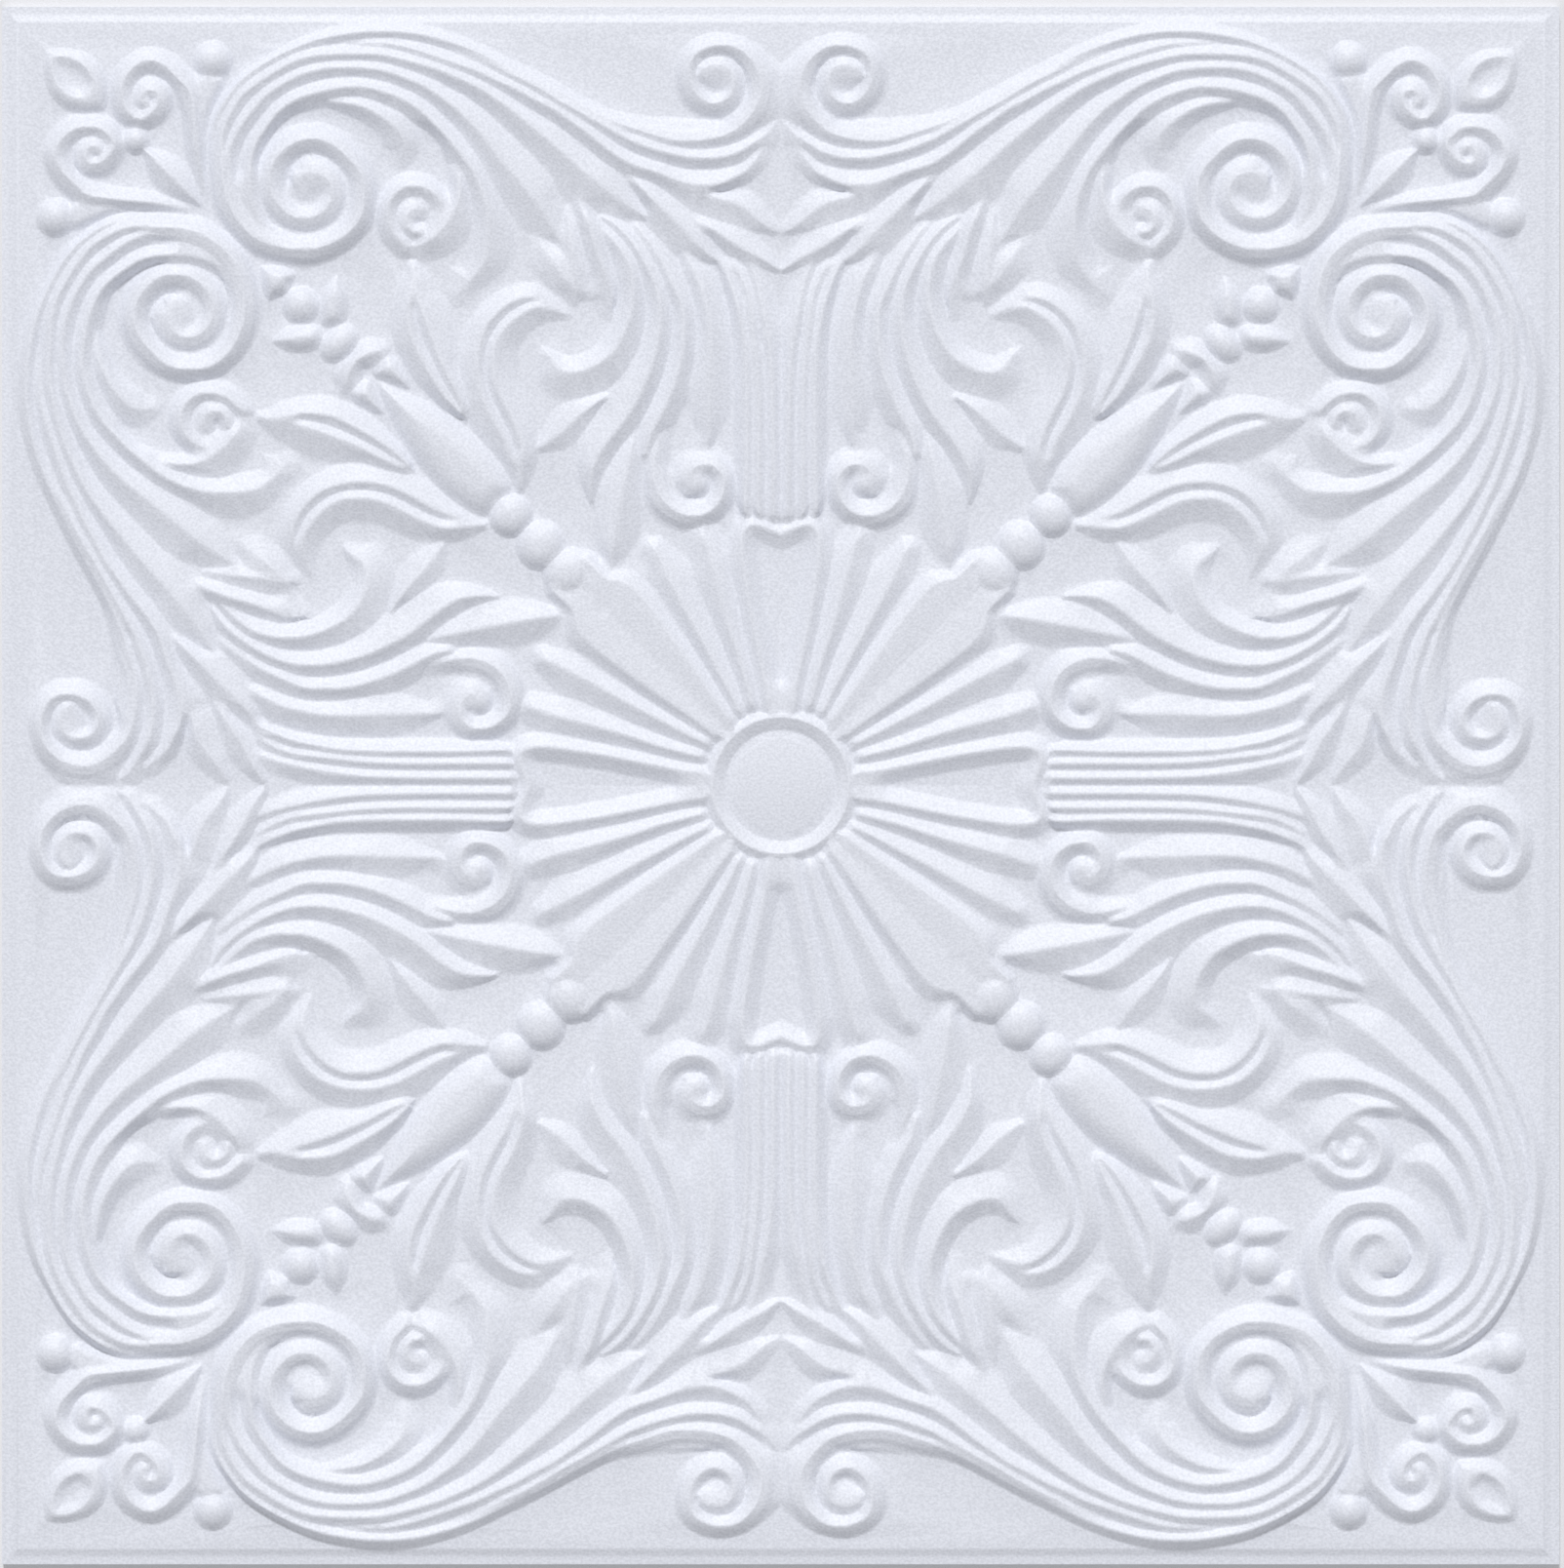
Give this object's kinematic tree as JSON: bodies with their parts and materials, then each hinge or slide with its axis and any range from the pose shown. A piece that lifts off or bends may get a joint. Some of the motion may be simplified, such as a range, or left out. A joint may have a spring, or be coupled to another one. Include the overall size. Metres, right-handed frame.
{
  "type": "polystyrene ceiling tile",
  "caption": "Square foam ceiling tile with a bevelled rim and mirrored acanthus scrollwork in low relief around a round centre medallion, flat on the back for gluing.",
  "frame": {"origin": "middle of the flat back face", "axes": "+Z out of the decorated face, +X to the right and +Y up as the picture shows the tile"},
  "size_m": [0.5, 0.5, 0.0095],
  "materials": {
    "foam": "matt white foam with a faint pearly grain"
  },
  "bodies": {
    "root": {"tile": "foam"}
  },
  "joints": []
}
